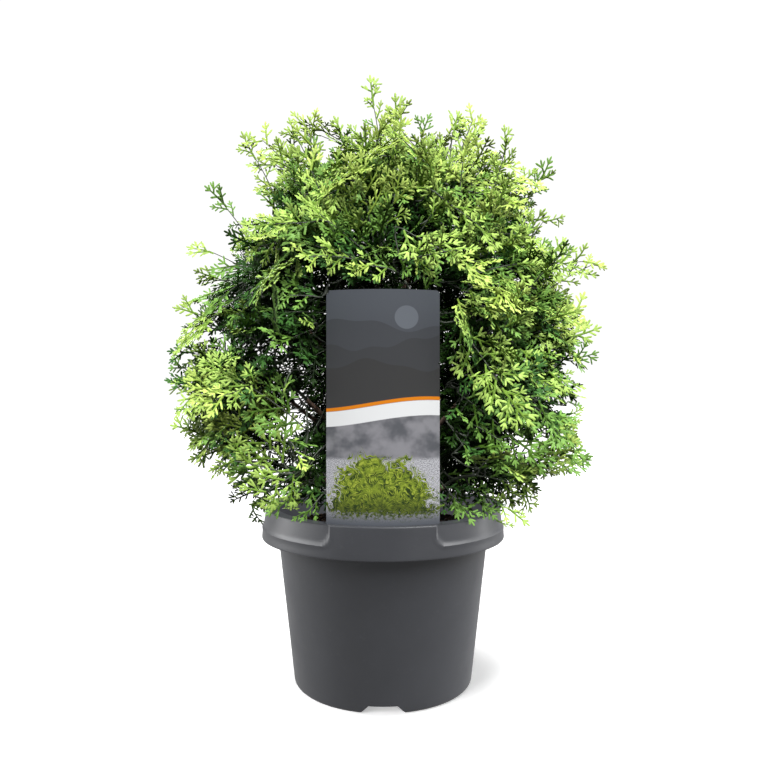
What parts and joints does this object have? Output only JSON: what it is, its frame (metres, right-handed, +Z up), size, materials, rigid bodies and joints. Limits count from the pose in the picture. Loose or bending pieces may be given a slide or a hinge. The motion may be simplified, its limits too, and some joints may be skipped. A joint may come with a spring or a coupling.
{
  "type": "potted hinoki cypress",
  "caption": "Young hinoki cypress with a dense rounded crown of flat sprays, in a plain dark nursery pot with a picture card standing in its rim.",
  "frame": {"origin": "on the ground, at the middle of the pot's foot, which is also the middle of the plant's width and depth", "axes": "+Z up along the pot's axis; the picture card faces -Y; +X to the right of someone who looks at the card"},
  "size_m": [0.3515, 0.2965, 0.4737],
  "materials": {
    "pot": "matte, faintly scuffed",
    "soil": "moist crumbly peat",
    "card": "satin printed plastic",
    "bark": "rough fibrous bark",
    "foliage": "matte scale leaves"
  },
  "bodies": {
    "root": {"pot": "pot", "potting_soil": "soil", "picture_card": "card", "trunk": "bark", "bough_skirt_1": "bark", "bough_skirt_2": "bark", "bough_skirt_3": "bark", "bough_skirt_4": "bark", "bough_skirt_5": "bark", "bough_skirt_6": "bark", "bough_lower_1": "bark", "bough_lower_2": "bark", "bough_lower_3": "bark", "bough_lower_4": "bark", "bough_lower_5": "bark", "bough_lower_6": "bark", "bough_middle_1": "bark", "bough_middle_2": "bark", "bough_middle_3": "bark", "bough_middle_4": "bark", "bough_middle_5": "bark", "bough_upper_1": "bark", "bough_upper_2": "bark", "bough_upper_3": "bark", "bough_upper_4": "bark", "foliage_skirt_1": "foliage", "foliage_skirt_2": "foliage", "foliage_skirt_3": "foliage", "foliage_skirt_4": "foliage", "foliage_skirt_5": "foliage", "foliage_skirt_6": "foliage", "foliage_lower_1": "foliage", "foliage_lower_2": "foliage", "foliage_lower_3": "foliage", "foliage_lower_4": "foliage", "foliage_lower_5": "foliage", "foliage_lower_6": "foliage", "foliage_middle_1": "foliage", "foliage_middle_2": "foliage", "foliage_middle_3": "foliage", "foliage_middle_4": "foliage", "foliage_middle_5": "foliage", "foliage_upper_1": "foliage", "foliage_upper_2": "foliage", "foliage_upper_3": "foliage", "foliage_upper_4": "foliage", "foliage_inner_1": "foliage", "foliage_inner_2": "foliage", "foliage_leader": "foliage"}
  },
  "joints": []
}
